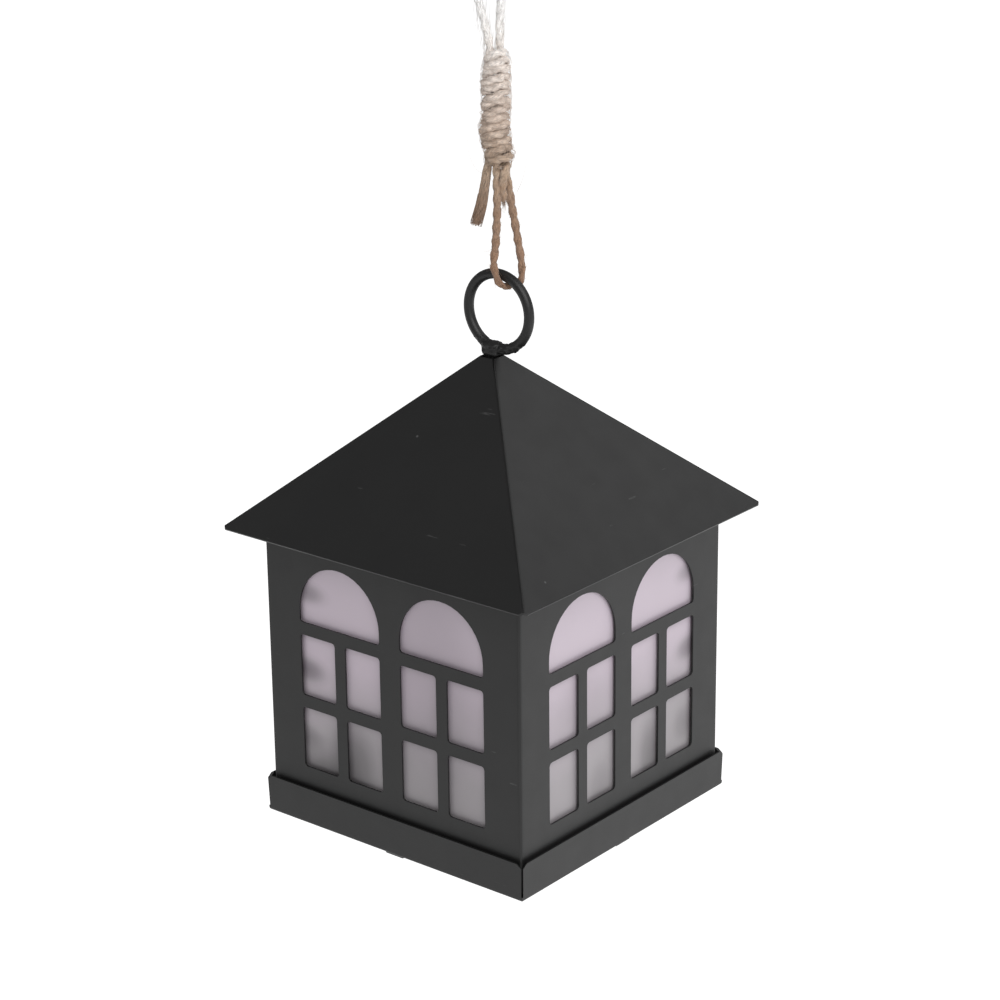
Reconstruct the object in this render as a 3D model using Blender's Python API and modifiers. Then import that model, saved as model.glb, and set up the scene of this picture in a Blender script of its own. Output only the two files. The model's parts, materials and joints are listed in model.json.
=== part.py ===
"""Small hanging solar lantern: a folded steel house with arched windows, a frosted liner, a power unit
in its base, a solar panel on the rear slope of its roof and a jute twine hanger.

Run with: blender --background --python part.py. Blender works in metres; the sizes below are in
millimetres and are multiplied by MM where they are used. +Z is up, the front is -Y, and the origin is
at the centre of the face that the lantern stands on.
"""

import math

import bmesh
import bpy
from mathutils import Matrix, Vector

MM = 0.001
GAP = 0.3  # clearance between pieces that touch on the real object

# Sheet steel shell
SHEET = 0.6
BODY_W = 100.0
BODY_CORNER_R = 1.2
TRAY_W = 102.7
TRAY_FLARE = 0.3
TRAY_H = 12.3
TRAY_Z = 2.3
ROOF_W = 118.8
ROOF_EAVE_Z = TRAY_Z + 95.8
ROOF_APEX_Z = TRAY_Z + 149.7
ROOF_TOP_W = 5.8
ROOF_CORNER_R = 3.2

# Windows: two on each wall, each an arch over two rows of two panes
WINDOW_W = 32.3
WINDOW_OFF = 20.15
WINDOW_BASE_Z = TRAY_Z + 19.05
BAR_W = 4.1
PANE_H = 20.2
PANE_R = 1.1
ARCH_STRAIGHT = 4.0

# Hanging ring
RING_MAJOR_R = 11.65
WIRE_R = 1.65
RING_X = 2.9
RING_Z = TRAY_Z + 161.4

# Frosted liner
LINER_W = 97.4
LINER_T = 0.5
LINER_R = 14.0
LINER_Z0 = TRAY_Z + 4.2
LINER_Z1 = TRAY_Z + 93.0

# Power unit in the base
PLATE_X, PLATE_Y, PLATE_T = 78.0, 54.0, 2.0
PLATE_R = 4.0
FLOOR_HOLE_X, FLOOR_HOLE_Y = 61.0, 41.0
HOUSING_X, HOUSING_Y, HOUSING_WALL = 64.0, 44.0, 1.5
GASKET_T = 1.0
HOUSING_FLANGE_T = 2.0
HOUSING_TOP_Z = 22.0
SCREW_X, SCREW_Y = 35.0, 23.0
SHANK_R = 1.1
HEAD_R = 2.1
CELL_R = 5.25
CELL_L = 30.0
CELL_Y, CELL_Z = -12.4, 8.0
BAY_X, BAY_Y, BAY_WALL = 38.0, 11.6, 1.1
BAY_CX = -4.0
BAY_TOP_Z = 14.8
COVER_T = 1.1
COVER_Z = 0.2
COVER_SCREW_X = 20.5
BOARD_X, BOARD_Y, BOARD_T = 40.0, 20.0, 1.2
BOARD_CY, BOARD_Z = 7.5, 6.9
SWITCH_X = -9.0
SWITCH_TRAVEL = 2.6
LEAD_GATE_X = -14.0
LED_R = 2.5

# Solar panel on the rear slope of the roof
PANEL_X, PANEL_Y, PANEL_T = 36.0, 24.0, 1.2
FRAME_RIM = 2.0
FRAME_FLOOR = 0.8
PANEL_UP_SLOPE = 19.5
HOLE_UP_SLOPE = 24.0

# Twine hanger
TWINE_R = 1.3
WHIP_R = 4.2
HANG_TURN = math.radians(39.3)  # the plane in which the twine's legs spread

ROOF_RISE = ROOF_APEX_Z - ROOF_EAVE_Z
ROOF_SLOPE = math.atan2(ROOF_RISE, ROOF_W / 2)
FLOOR_TOP = TRAY_Z + SHEET
GASKET_Z = FLOOR_TOP + GAP
FLANGE_Z = GASKET_Z + GASKET_T + GAP
WALL_TOP_Z = ROOF_APEX_Z - (BODY_W / 2) * math.tan(ROOF_SLOPE) - SHEET / math.cos(ROOF_SLOPE) - 2 * GAP

MATERIALS = {
    "black_steel": ((0.022, 0.022, 0.023), 0.45, 0.0),
    "frosted_plastic": ((0.74, 0.70, 0.74), 0.55, 0.0),
    "black_plastic": ((0.028, 0.028, 0.030), 0.5, 0.0),
    "rubber": ((0.03, 0.03, 0.03), 0.8, 0.0),
    "solar_cell": ((0.02, 0.03, 0.09), 0.2, 0.0),
    "circuit_board": ((0.03, 0.22, 0.10), 0.5, 0.0),
    "battery_sleeve": ((0.10, 0.36, 0.16), 0.4, 0.0),
    "bright_metal": ((0.62, 0.62, 0.60), 0.3, 1.0),
    "led_epoxy": ((0.90, 0.86, 0.70), 0.1, 0.0),
    "red_lead": ((0.55, 0.03, 0.03), 0.45, 0.0),
    "black_lead": ((0.02, 0.02, 0.02), 0.45, 0.0),
    "jute": ((0.42, 0.29, 0.18), 0.9, 0.0),
}


# ---------------------------------------------------------------- scene and materials
def clear_scene():
    for obj in list(bpy.data.objects):
        bpy.data.objects.remove(obj, do_unlink=True)


def new_collection(name):
    made = bpy.data.collections.new(name)
    bpy.context.scene.collection.children.link(made)
    return made


def make_material(name):
    colour, roughness, metallic = MATERIALS[name]
    made = bpy.data.materials.new(name)
    made.use_nodes = True
    shader = made.node_tree.nodes["Principled BSDF"]
    shader.inputs["Base Color"].default_value = (*colour, 1.0)
    shader.inputs["Roughness"].default_value = roughness
    shader.inputs["Metallic"].default_value = metallic
    made.diffuse_color = (*colour, 1.0)
    return made


clear_scene()
PARTS = new_collection("solar_lantern")
CUTTERS = new_collection("cutters")
SHADES = {name: make_material(name) for name in MATERIALS}


# ---------------------------------------------------------------- making objects
def link_mesh(name, mesh, material=None, at=(0, 0, 0), turn=(0, 0, 0), smooth=False):
    """A mesh object in the parts collection, or a cutter when it has no material."""
    obj = bpy.data.objects.new(name, mesh)
    obj.location = Vector(at) * MM
    obj.rotation_euler = turn
    if material:
        if not mesh.materials:
            mesh.materials.append(SHADES[material])
        PARTS.objects.link(obj)
    else:
        CUTTERS.objects.link(obj)
        obj.hide_render = True
        obj.display_type = "WIRE"
    if smooth:
        mesh.shade_smooth()
        mesh.set_sharp_from_angle(angle=math.radians(35))
    return obj


def finish_bmesh(name, bm):
    mesh = bpy.data.meshes.new(name)
    bm.to_mesh(mesh)
    bm.free()
    return mesh


def add_cube(bm, size, at=(0, 0, 0), turn=None):
    """One box in bm, its size and centre in millimetres."""
    place = Matrix.Translation(Vector(at) * MM)
    if turn is not None:
        place = place @ turn
    scale = Matrix.Diagonal((*(Vector(size) * MM), 1.0))
    bmesh.ops.create_cube(bm, size=1.0, matrix=place @ scale)


def boxes_mesh(name, boxes):
    """boxes: (size, centre) or (size, centre, turn matrix), all in one mesh."""
    bm = bmesh.new()
    for box in boxes:
        add_cube(bm, *box)
    return finish_bmesh(name, bm)


def box(name, size, at, material=None, bevel=0.0, segments=2):
    obj = link_mesh(name, boxes_mesh(name, [(size, (0, 0, 0))]), material, at)
    if bevel:
        add_bevel(obj, bevel, segments)
    return obj


def cylinder_mesh(name, radius, length, sides=24, top_radius=None):
    """Stands on its own origin, along +Z."""
    bm = bmesh.new()
    top = radius if top_radius is None else top_radius
    bmesh.ops.create_cone(bm, cap_ends=True, segments=sides, radius1=radius * MM, radius2=top * MM,
                          depth=length * MM, matrix=Matrix.Translation((0, 0, length / 2 * MM)))
    return finish_bmesh(name, bm)


def cylinder(name, radius, length, at, material=None, sides=24, turn=(0, 0, 0)):
    mesh = cylinder_mesh(name, radius, length, sides)
    return link_mesh(name, mesh, material, at, turn, smooth=True)


def turned(name, profile, at, material, steps=24, turn=(0, 0, 0)):
    """A solid of revolution about local Z. profile: (radius, height) from the top down its outer side.

    A profile that keeps clear of the axis is closed into a ring.
    """
    bm = bmesh.new()
    corners = [bm.verts.new((radius * MM, 0, height * MM)) for radius, height in profile]
    ends = corners[1:] + (corners[:1] if profile[0][0] > 0 else [])
    for first, second in zip(corners, ends):
        bm.edges.new((first, second))
    obj = link_mesh(name, finish_bmesh(name, bm), material, at, turn, smooth=True)
    screw = obj.modifiers.new("turn", "SCREW")
    screw.steps = screw.render_steps = steps
    screw.use_merge_vertices = True
    screw.merge_threshold = 1e-6
    screw.use_smooth_shade = False
    return obj


def mesh_from_curve(obj, name):
    """The curve's evaluated shape as one closed mesh; the curve itself is removed."""
    bpy.context.view_layer.update()
    graph = bpy.context.evaluated_depsgraph_get()
    mesh = bpy.data.meshes.new_from_object(obj.evaluated_get(graph))
    mesh.name = name
    bm = bmesh.new()
    bm.from_mesh(mesh)
    bmesh.ops.remove_doubles(bm, verts=bm.verts, dist=1e-6)
    bmesh.ops.recalc_face_normals(bm, faces=bm.faces)
    bm.to_mesh(mesh)
    bm.free()
    bpy.data.objects.remove(obj, do_unlink=True)
    return mesh


def outline_mesh(name, outlines, thickness):
    """Flat outlines in local XY, filled with their holes open, and extruded about Z = 0."""
    curve = bpy.data.curves.new(name, "CURVE")
    curve.dimensions = "2D"
    curve.fill_mode = "BOTH"
    curve.extrude = thickness / 2 * MM
    for outline in outlines:
        spline = curve.splines.new("POLY")
        spline.points.add(len(outline) - 1)
        for point, (x, y) in zip(spline.points, outline):
            point.co = (x * MM, y * MM, 0, 1)
        spline.use_cyclic_u = True
    guide = bpy.data.objects.new(name, curve)
    CUTTERS.objects.link(guide)
    return mesh_from_curve(guide, name)


def wall_mesh(name, outline, height):
    """The upright surface over an outline, open above and below, facing outwards."""
    bm = bmesh.new()
    corners = [bm.verts.new((x * MM, y * MM, 0)) for x, y in outline]
    edges = [bm.edges.new(pair) for pair in zip(corners, corners[1:] + corners[:1])]
    made = bmesh.ops.extrude_edge_only(bm, edges=edges)["geom"]
    raised = [item for item in made if isinstance(item, bmesh.types.BMVert)]
    bmesh.ops.translate(bm, verts=raised, vec=(0, 0, height * MM))
    bmesh.ops.recalc_face_normals(bm, faces=bm.faces)
    if bm.faces[0].normal.dot(bm.faces[0].calc_center_median()) < 0:
        bmesh.ops.reverse_faces(bm, faces=bm.faces)
    return finish_bmesh(name, bm)


def tube(name, points, radius, material, bevel_resolution=2):
    """A wire of the given radius along points, in millimetres."""
    curve = bpy.data.curves.new(name, "CURVE")
    curve.dimensions = "3D"
    curve.bevel_depth = radius * MM
    curve.bevel_resolution = bevel_resolution
    curve.use_fill_caps = True
    spline = curve.splines.new("POLY")
    spline.points.add(len(points) - 1)
    for target, point in zip(spline.points, points):
        target.co = (*(Vector(point) * MM), 1)
    curve.materials.append(SHADES[material])
    obj = bpy.data.objects.new(name, curve)
    PARTS.objects.link(obj)
    return obj


# ---------------------------------------------------------------- changing objects
def add_bevel(obj, width, segments=2, angle=40):
    bevel = obj.modifiers.new("bevel", "BEVEL")
    bevel.width = width * MM
    bevel.segments = segments
    bevel.limit_method = "ANGLE"
    bevel.angle_limit = math.radians(angle)
    return bevel


def add_sheet(obj, thickness):
    """Thickens an open surface inwards."""
    sheet = obj.modifiers.new("sheet", "SOLIDIFY")
    sheet.thickness = thickness * MM
    sheet.offset = -1
    sheet.use_even_offset = True
    return sheet


def boolean(obj, operation, other):
    step = obj.modifiers.new(operation.lower(), "BOOLEAN")
    step.operation = operation
    step.solver = "EXACT"
    step.object = other
    return step


def cut(obj, other):
    return boolean(obj, "DIFFERENCE", other)


def join(obj, other):
    return boolean(obj, "UNION", other)


# ---------------------------------------------------------------- outlines and routes
def arc(cx, cy, radius, start, end, steps):
    """Points on a circle from start to end degrees."""
    angles = [math.radians(start + (end - start) * i / steps) for i in range(steps + 1)]
    return [(cx + radius * math.cos(a), cy + radius * math.sin(a)) for a in angles]


def rounded_rectangle(width, height, radius, cx=0.0, cy=0.0, steps=3):
    half_w, half_h = width / 2 - radius, height / 2 - radius
    corners = ((1, 1, 0), (-1, 1, 90), (-1, -1, 180), (1, -1, 270))
    points = []
    for sx, sy, start in corners:
        points += arc(cx + sx * half_w, cy + sy * half_h, radius, start, start + 90, steps)
    return points


def circle(cx, cy, radius, steps=20):
    return arc(cx, cy, radius, 0, 360 - 360 / steps, steps - 1)


def arch_outline(cx, base, width, straight):
    """A round-headed arch with small bottom corners."""
    half = width / 2
    head = arc(cx, base + straight, half, 0, 180, 22)
    left = arc(cx - half + PANE_R, base + PANE_R, PANE_R, 180, 270, 3)
    right = arc(cx + half - PANE_R, base + PANE_R, PANE_R, 270, 360, 3)
    return head + left + right


def smooth_route(points, spacing):
    """Points spaced evenly along a Catmull-Rom curve through the given points."""
    knots = [Vector(p) for p in points]
    knots = [2 * knots[0] - knots[1], *knots, 2 * knots[-1] - knots[-2]]
    fine = []
    for a, b, c, d in zip(knots, knots[1:], knots[2:], knots[3:]):
        for i in range(24):
            t = i / 24
            fine.append(0.5 * (2 * b + (c - a) * t + (2 * a - 5 * b + 4 * c - d) * t ** 2
                               + (3 * b - a - 3 * c + d) * t ** 3))
    fine.append(knots[-2])
    lengths = [0.0]
    for first, second in zip(fine, fine[1:]):
        lengths.append(lengths[-1] + (second - first).length)
    count = max(2, round(lengths[-1] / spacing))
    route, k = [], 0
    for i in range(count + 1):
        target = lengths[-1] * i / count
        while k < len(fine) - 2 and lengths[k + 1] < target:
            k += 1
        share = (target - lengths[k]) / max(lengths[k + 1] - lengths[k], 1e-9)
        route.append(fine[k].lerp(fine[k + 1], min(1.0, max(0.0, share))))
    return route


def hanger_point(side, height, front=0.0):
    """A point of the twine: side is to the right in the plane of its legs, front is towards its viewer."""
    across = Vector((math.cos(HANG_TURN), math.sin(HANG_TURN), 0))
    toward = Vector((math.sin(HANG_TURN), -math.cos(HANG_TURN), 0))
    return across * side + toward * front + Vector((0, 0, TRAY_Z + height))


def four_sides():
    """The turns about Z that carry a piece on the +X side to each side."""
    return [Matrix.Rotation(math.radians(90 * i), 4, "Z") for i in range(4)]


def turned_boxes(size, at, tilt=None):
    """One box on each of the four sides, from the one on the +X side."""
    made = []
    for turn in four_sides():
        centre = turn.to_3x3() @ Vector(at)
        made.append((size, centre, turn @ tilt if tilt is not None else turn))
    return made


# ---------------------------------------------------------------- sheet steel
def window_cutter(name, turn):
    """All the openings of two opposite walls in one cutter."""
    pane_w = (WINDOW_W - BAR_W) / 2
    outlines = []
    for side in (-1, 1):
        cx = side * WINDOW_OFF
        for column in (-1, 1):
            for row in range(2):
                x = cx + column * (pane_w + BAR_W) / 2
                z = WINDOW_BASE_Z + PANE_H / 2 + row * (PANE_H + BAR_W)
                outlines.append(rounded_rectangle(pane_w, PANE_H, PANE_R, x, z))
        arch_base = WINDOW_BASE_Z + 2 * (PANE_H + BAR_W)
        outlines.append(arch_outline(cx, arch_base, WINDOW_W, ARCH_STRAIGHT))
    mesh = outline_mesh(name, outlines, BODY_W + 10)
    return link_mesh(name, mesh, turn=(math.radians(90), 0, turn))


def make_body():
    """A folded square tube with its windows, four tabs folded under the tray and four up to the roof."""
    bottom = TRAY_Z - GAP - SHEET + 0.1
    height = WALL_TOP_Z - bottom
    mesh = wall_mesh("body_shell", rounded_rectangle(BODY_W, BODY_W, BODY_CORNER_R), height)
    body = link_mesh("body_shell", mesh, "black_steel", (0, 0, bottom), smooth=True)
    add_sheet(body, SHEET)
    cut(body, window_cutter("windows_front_back", 0.0))
    cut(body, window_cutter("windows_left_right", math.radians(90)))
    tab_w = 7.0
    wide = BODY_W - tab_w
    above_floor = FLOOR_TOP + GAP - bottom
    corners = [((wide, wide, 2 * above_floor), (sx * BODY_W / 2, sy * BODY_W / 2, bottom))
               for sx in (-1, 1) for sy in (-1, 1)]
    cut(body, link_mesh("below_walls", boxes_mesh("below_walls", corners)))
    foot = 5.0
    foot_at = (BODY_W / 2 - 0.05 - foot / 2, 0, bottom - 0.1 + SHEET / 2)
    feet = turned_boxes((foot, tab_w - 0.4, SHEET), foot_at)
    join(body, link_mesh("folded_tabs", boxes_mesh("folded_tabs", feet)))
    reach = 6.0
    tilt = Matrix.Rotation(ROOF_SLOPE, 4, "Y")
    inward = Vector((-math.cos(ROOF_SLOPE), 0, math.sin(ROOF_SLOPE)))
    start = Vector((BODY_W / 2 - SHEET / 2, 0, WALL_TOP_Z - SHEET * 0.55))
    roof_tabs = turned_boxes((reach, 10.0, SHEET), start + inward * (reach / 2 - 0.15), tilt)
    join(body, link_mesh("roof_tabs", boxes_mesh("roof_tabs", roof_tabs)))
    return body


def make_tray():
    """A folded dish: floor and four leaning sides with an open slit at each corner."""
    bm = bmesh.new()
    bmesh.ops.create_cube(bm, size=1.0)
    bmesh.ops.delete(bm, geom=[f for f in bm.faces if f.normal.z > 0.5], context="FACES_ONLY")
    for vert in bm.verts:
        rim = vert.co.z > 0
        half = TRAY_W / 2 + (TRAY_FLARE if rim else 0)
        vert.co = Vector((math.copysign(half, vert.co.x), math.copysign(half, vert.co.y),
                          TRAY_H if rim else 0)) * MM
    tray = link_mesh("tray", finish_bmesh("tray", bm), "black_steel", (0, 0, TRAY_Z), smooth=True)
    fold = add_bevel(tray, 0.9, 3, angle=60)
    fold.limit_method = "WEIGHT"
    weights = tray.data.attributes.new("bevel_weight_edge", "FLOAT", "EDGE")
    for edge in tray.data.edges:
        low = all(tray.data.vertices[i].co.z < 1e-5 for i in edge.vertices)
        weights.data[edge.index].value = 1.0 if low else 0.0
    add_sheet(tray, SHEET)
    half_slit, clip = 0.3, 1.2
    top = TRAY_H + 1.0
    slit = [(-half_slit, 1.6), (half_slit, 1.6), (half_slit, TRAY_H - clip), (half_slit + clip + 1.0, top),
            (-half_slit - clip - 1.0, top), (-half_slit, TRAY_H - clip)]
    slit_mesh = outline_mesh("corner_slit", [slit], 8.0)
    for i in range(4):
        angle = math.radians(45 + 90 * i)
        at = Vector((math.cos(angle), math.sin(angle), 0)) * (TRAY_W / 2) * math.sqrt(2)
        at.z = TRAY_Z
        turn = (math.radians(90), 0, angle + math.radians(90))
        cut(tray, link_mesh(f"corner_slit_{i + 1}", slit_mesh, at=at, turn=turn))
    opening = rounded_rectangle(FLOOR_HOLE_X, FLOOR_HOLE_Y, 3.0)
    holes = [circle(sx * SCREW_X, sy * SCREW_Y, 1.5, 16) for sx in (-1, 1) for sy in (-1, 1)]
    slots = []
    for side in (-1, 1):
        middle = side * (BODY_W / 2 - SHEET / 2)
        slots.append(rounded_rectangle(SHEET + 2 * GAP, 7.8, 0.3, middle, 0))
        slots.append(rounded_rectangle(7.8, SHEET + 2 * GAP, 0.3, 0, middle))
    floor_cut = outline_mesh("floor_openings", [opening, *holes, *slots], 4.0)
    cut(tray, link_mesh("floor_openings", floor_cut, at=(0, 0, TRAY_Z)))
    return tray


def roof_frame(up_slope, out, across=0.0):
    """A point on the rear slope: up it from the eave, and out from its outer surface."""
    y = ROOF_W / 2 - up_slope * math.cos(ROOF_SLOPE) + out * math.sin(ROOF_SLOPE)
    z = ROOF_EAVE_Z + up_slope * math.sin(ROOF_SLOPE) + out * math.cos(ROOF_SLOPE)
    return Vector((across, y, z))


def make_roof():
    """A four-sided sheet pyramid, open at its small flat top, with rounded eave corners."""
    top_z = ROOF_APEX_Z - (ROOF_TOP_W / 2) * math.tan(ROOF_SLOPE)
    height = top_z - ROOF_EAVE_Z
    bm = bmesh.new()
    bmesh.ops.create_cone(bm, cap_ends=False, segments=4, radius1=ROOF_W / math.sqrt(2) * MM,
                          radius2=ROOF_TOP_W / math.sqrt(2) * MM, depth=height * MM,
                          matrix=Matrix.Rotation(math.radians(45), 4, "Z"))
    roof = link_mesh("roof", finish_bmesh("roof", bm), "black_steel",
                     (0, 0, ROOF_EAVE_Z + height / 2), smooth=True)
    add_bevel(roof, 0.8, 2, angle=20)
    add_sheet(roof, SHEET)
    plan = rounded_rectangle(ROOF_W + 0.02, ROOF_W + 0.02, ROOF_CORNER_R, steps=5)
    rounded = link_mesh("eave_plan", outline_mesh("eave_plan", [plan], 140.0), at=(0, 0, ROOF_EAVE_Z))
    boolean(roof, "INTERSECT", rounded)
    hole = cylinder("lead_hole", 3.0, 8.0, roof_frame(HOLE_UP_SLOPE, -4.0), turn=(-ROOF_SLOPE, 0, 0))
    cut(roof, hole)
    crack_l = 6.0
    hip = Vector((1, -1, -math.sqrt(2) * math.tan(ROOF_SLOPE) / math.sqrt(2))).normalized()
    top_corner = Vector((ROOF_TOP_W / 2, -ROOF_TOP_W / 2, top_z))
    along = hip.to_track_quat("X", "Z").to_matrix().to_4x4()
    crack = boxes_mesh("hip_crack", [((crack_l, 0.5, 4.0), top_corner + hip * (crack_l / 2 - 1.0), along)])
    cut(roof, link_mesh("hip_crack", crack))
    return roof


def make_ring():
    """The hanging ring, welded upright into the open top of the roof a little off its centre."""
    bpy.ops.mesh.primitive_torus_add(major_radius=RING_MAJOR_R * MM, minor_radius=WIRE_R * MM,
                                     major_segments=56, minor_segments=12)
    made = bpy.context.active_object
    mesh = made.data
    bpy.data.objects.remove(made, do_unlink=True)
    mesh.materials.clear()
    upright = (math.radians(90), 0, 0)
    ring = link_mesh("hanging_ring", mesh, "black_steel", (RING_X, 0, RING_Z), upright, True)
    top_z = ROOF_APEX_Z - (ROOF_TOP_W / 2) * math.tan(ROOF_SLOPE)
    weld_w, weld_h = 5.9, 4.3
    weld = box("ring_weld", (weld_w, 4.6, weld_h), (0.2, 0, top_z + GAP + weld_h / 2), bevel=1.0)
    plug = box("weld_plug", (3.2, 3.2, 5.0), (0, 0, top_z + GAP + 1.0 - 2.5))
    join(ring, weld)
    join(ring, plug)
    return ring


# ---------------------------------------------------------------- liner
def make_liner():
    """One thin frosted sheet rolled into a rounded square behind the windows."""
    height = LINER_Z1 - LINER_Z0
    mesh = wall_mesh("frosted_liner", rounded_rectangle(LINER_W, LINER_W, LINER_R, steps=8), height)
    liner = link_mesh("frosted_liner", mesh, "frosted_plastic", (0, 0, LINER_Z0), smooth=True)
    add_sheet(liner, LINER_T)
    return liner


# ---------------------------------------------------------------- power unit
def make_screw(name, at, length):
    """A countersunk self-tapping screw whose head faces down, with a cross recess."""
    head_h = 1.25
    profile = [(0.0, length), (SHANK_R * 0.45, length), (SHANK_R, length - 1.2), (SHANK_R, head_h),
               (HEAD_R, 0.25), (HEAD_R, 0.0), (0.0, 0.0)]
    screw = turned(name, profile, at, "bright_metal", steps=18)
    arm_l, arm_w, deep = 2.3, 0.5, 0.7
    for letter, size in (("a", (arm_l, arm_w, 2 * deep)), ("b", (arm_w, arm_l, 2 * deep))):
        cut(screw, box(f"{name}_recess_{letter}", size, at))
    return screw


def screw_places():
    return [(sx * SCREW_X, sy * SCREW_Y) for sy in (-1, 1) for sx in (-1, 1)]


def make_base_plate():
    """The plate under the tray, with the battery bay that rises through the tray's opening."""
    mesh = outline_mesh("base_plate", [rounded_rectangle(PLATE_X, PLATE_Y, PLATE_R)], PLATE_T)
    plate = link_mesh("base_plate", mesh, "black_plastic", (0, 0, PLATE_T / 2), smooth=True)
    low = PLATE_T / 2
    bay_size = (BAY_X + 2 * BAY_WALL, BAY_Y + 2 * BAY_WALL, BAY_TOP_Z - low)
    join(plate, box("bay_outside", bay_size, (BAY_CX, CELL_Y, (BAY_TOP_Z + low) / 2)))
    post_h, inset = 4.8, 2.5
    post_z = BOARD_Z - GAP - post_h / 2
    posts = [((3.0, 3.0, post_h), (sx * (BOARD_X / 2 - inset), BOARD_CY + sy * (BOARD_Y / 2 - inset), post_z))
             for sx in (-1, 1) for sy in (-1, 1)]
    join(plate, link_mesh("board_posts", boxes_mesh("board_posts", posts)))
    boss_h = 6.0
    boss = cylinder_mesh("cover_boss", 2.6, boss_h, 18)
    join(plate, link_mesh("cover_boss", boss, at=(COVER_SCREW_X, CELL_Y, low)))
    ceiling = BAY_TOP_Z - BAY_WALL
    cut(plate, box("bay_inside", (BAY_X, BAY_Y, ceiling + 2.0), (BAY_CX, CELL_Y, ceiling / 2 - 1.0)))
    seat_x, seat_l = cover_span(GAP)
    cut(plate, box("cover_seat", (seat_l, BAY_Y + 2.0, 3.2), (seat_x, CELL_Y, 0.0)))
    cut(plate, box("lead_notch", (8.0, 6.0, 3.0), (BAY_CX + 8.0, CELL_Y + BAY_Y / 2, BAY_TOP_Z - 1.0)))
    cut(plate, box("switch_slot", (7.6, 3.2, 8.0), (SWITCH_X, BOARD_CY, 0.0)))
    cut(plate, box("switch_recess", (11.0, 6.4, 1.6), (SWITCH_X, BOARD_CY, 0.0)))
    pilot = cylinder_mesh("cover_pilot", SHANK_R + 0.5, boss_h + 2.0, 18)
    cut(plate, link_mesh("cover_pilot", pilot, at=(COVER_SCREW_X, CELL_Y, low - 3.0)))
    for number, (x, y) in enumerate(screw_places(), 1):
        mesh = cylinder_mesh(f"plate_hole_{number}", SHANK_R + GAP, 10.0, 18)
        cut(plate, link_mesh(f"plate_hole_{number}", mesh, at=(x, y, -5.0)))
        sink = cylinder_mesh(f"plate_sink_{number}", HEAD_R + 0.9, 2.6, 18, top_radius=SHANK_R + 0.1)
        cut(plate, link_mesh(f"plate_sink_{number}", sink, at=(x, y, -0.4)))
    return plate


def cover_span(extra=0.0):
    """The battery cover's middle and length along X, grown by extra at each end."""
    left = BAY_CX - BAY_X / 2 - 0.6 - extra
    right = COVER_SCREW_X + 3.5 + extra
    return (left + right) / 2, right - left


def make_housing():
    """The cap over the power unit, standing on its flange inside the tray."""
    flange = outline_mesh("unit_housing", [rounded_rectangle(PLATE_X, PLATE_Y, PLATE_R)], HOUSING_FLANGE_T)
    flange_at = (0, 0, FLANGE_Z + HOUSING_FLANGE_T / 2)
    housing = link_mesh("unit_housing", flange, "black_plastic", flange_at, smooth=True)
    height = HOUSING_TOP_Z - FLANGE_Z
    cap_mesh = outline_mesh("cap", [rounded_rectangle(HOUSING_X, HOUSING_Y, 3.0)], height - 0.5)
    join(housing, link_mesh("cap", cap_mesh, at=(0, 0, FLANGE_Z + 0.5 + (height - 0.5) / 2)))
    for number, (x, y) in enumerate(screw_places(), 1):
        boss = cylinder_mesh(f"boss_{number}", 3.2, 6.0, 18)
        join(housing, link_mesh(f"boss_{number}", boss, at=(x, y, FLANGE_Z + 0.2)))
    inside = rounded_rectangle(HOUSING_X - 2 * HOUSING_WALL, HOUSING_Y - 2 * HOUSING_WALL, 1.5)
    hollow = outline_mesh("cap_inside", [inside], 2 * (height - HOUSING_WALL))
    cut(housing, link_mesh("cap_inside", hollow, at=(0, 0, FLANGE_Z)))
    cut(housing, cylinder("led_hole", LED_R + 0.4, 6.0, (0, 0, HOUSING_TOP_Z - 4.0), sides=20))
    cut(housing, box("lead_gate", (5.0, 6.0, 2.6), (LEAD_GATE_X, HOUSING_Y / 2, FLANGE_Z + 4.2)))
    for number, (x, y) in enumerate(screw_places(), 1):
        pilot = cylinder_mesh(f"pilot_{number}", SHANK_R + GAP, 10.6, 18)
        cut(housing, link_mesh(f"pilot_{number}", pilot, at=(x, y, FLANGE_Z - 5.2)))
    return housing


def make_gasket():
    """The rubber ring between the tray's floor and the housing's flange."""
    middle = GASKET_Z + GASKET_T / 2
    mesh = outline_mesh("unit_gasket", [rounded_rectangle(PLATE_X, PLATE_Y, PLATE_R)], GASKET_T)
    gasket = link_mesh("unit_gasket", mesh, "rubber", (0, 0, middle), smooth=True)
    holes = [circle(x, y, 1.5, 16) for x, y in screw_places()]
    opening = rounded_rectangle(HOUSING_X - 1.0, HOUSING_Y - 1.0, 3.0)
    cutter = outline_mesh("gasket_openings", [opening, *holes], 4 * GASKET_T)
    cut(gasket, link_mesh("gasket_openings", cutter, at=(0, 0, middle)))
    return gasket


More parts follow.
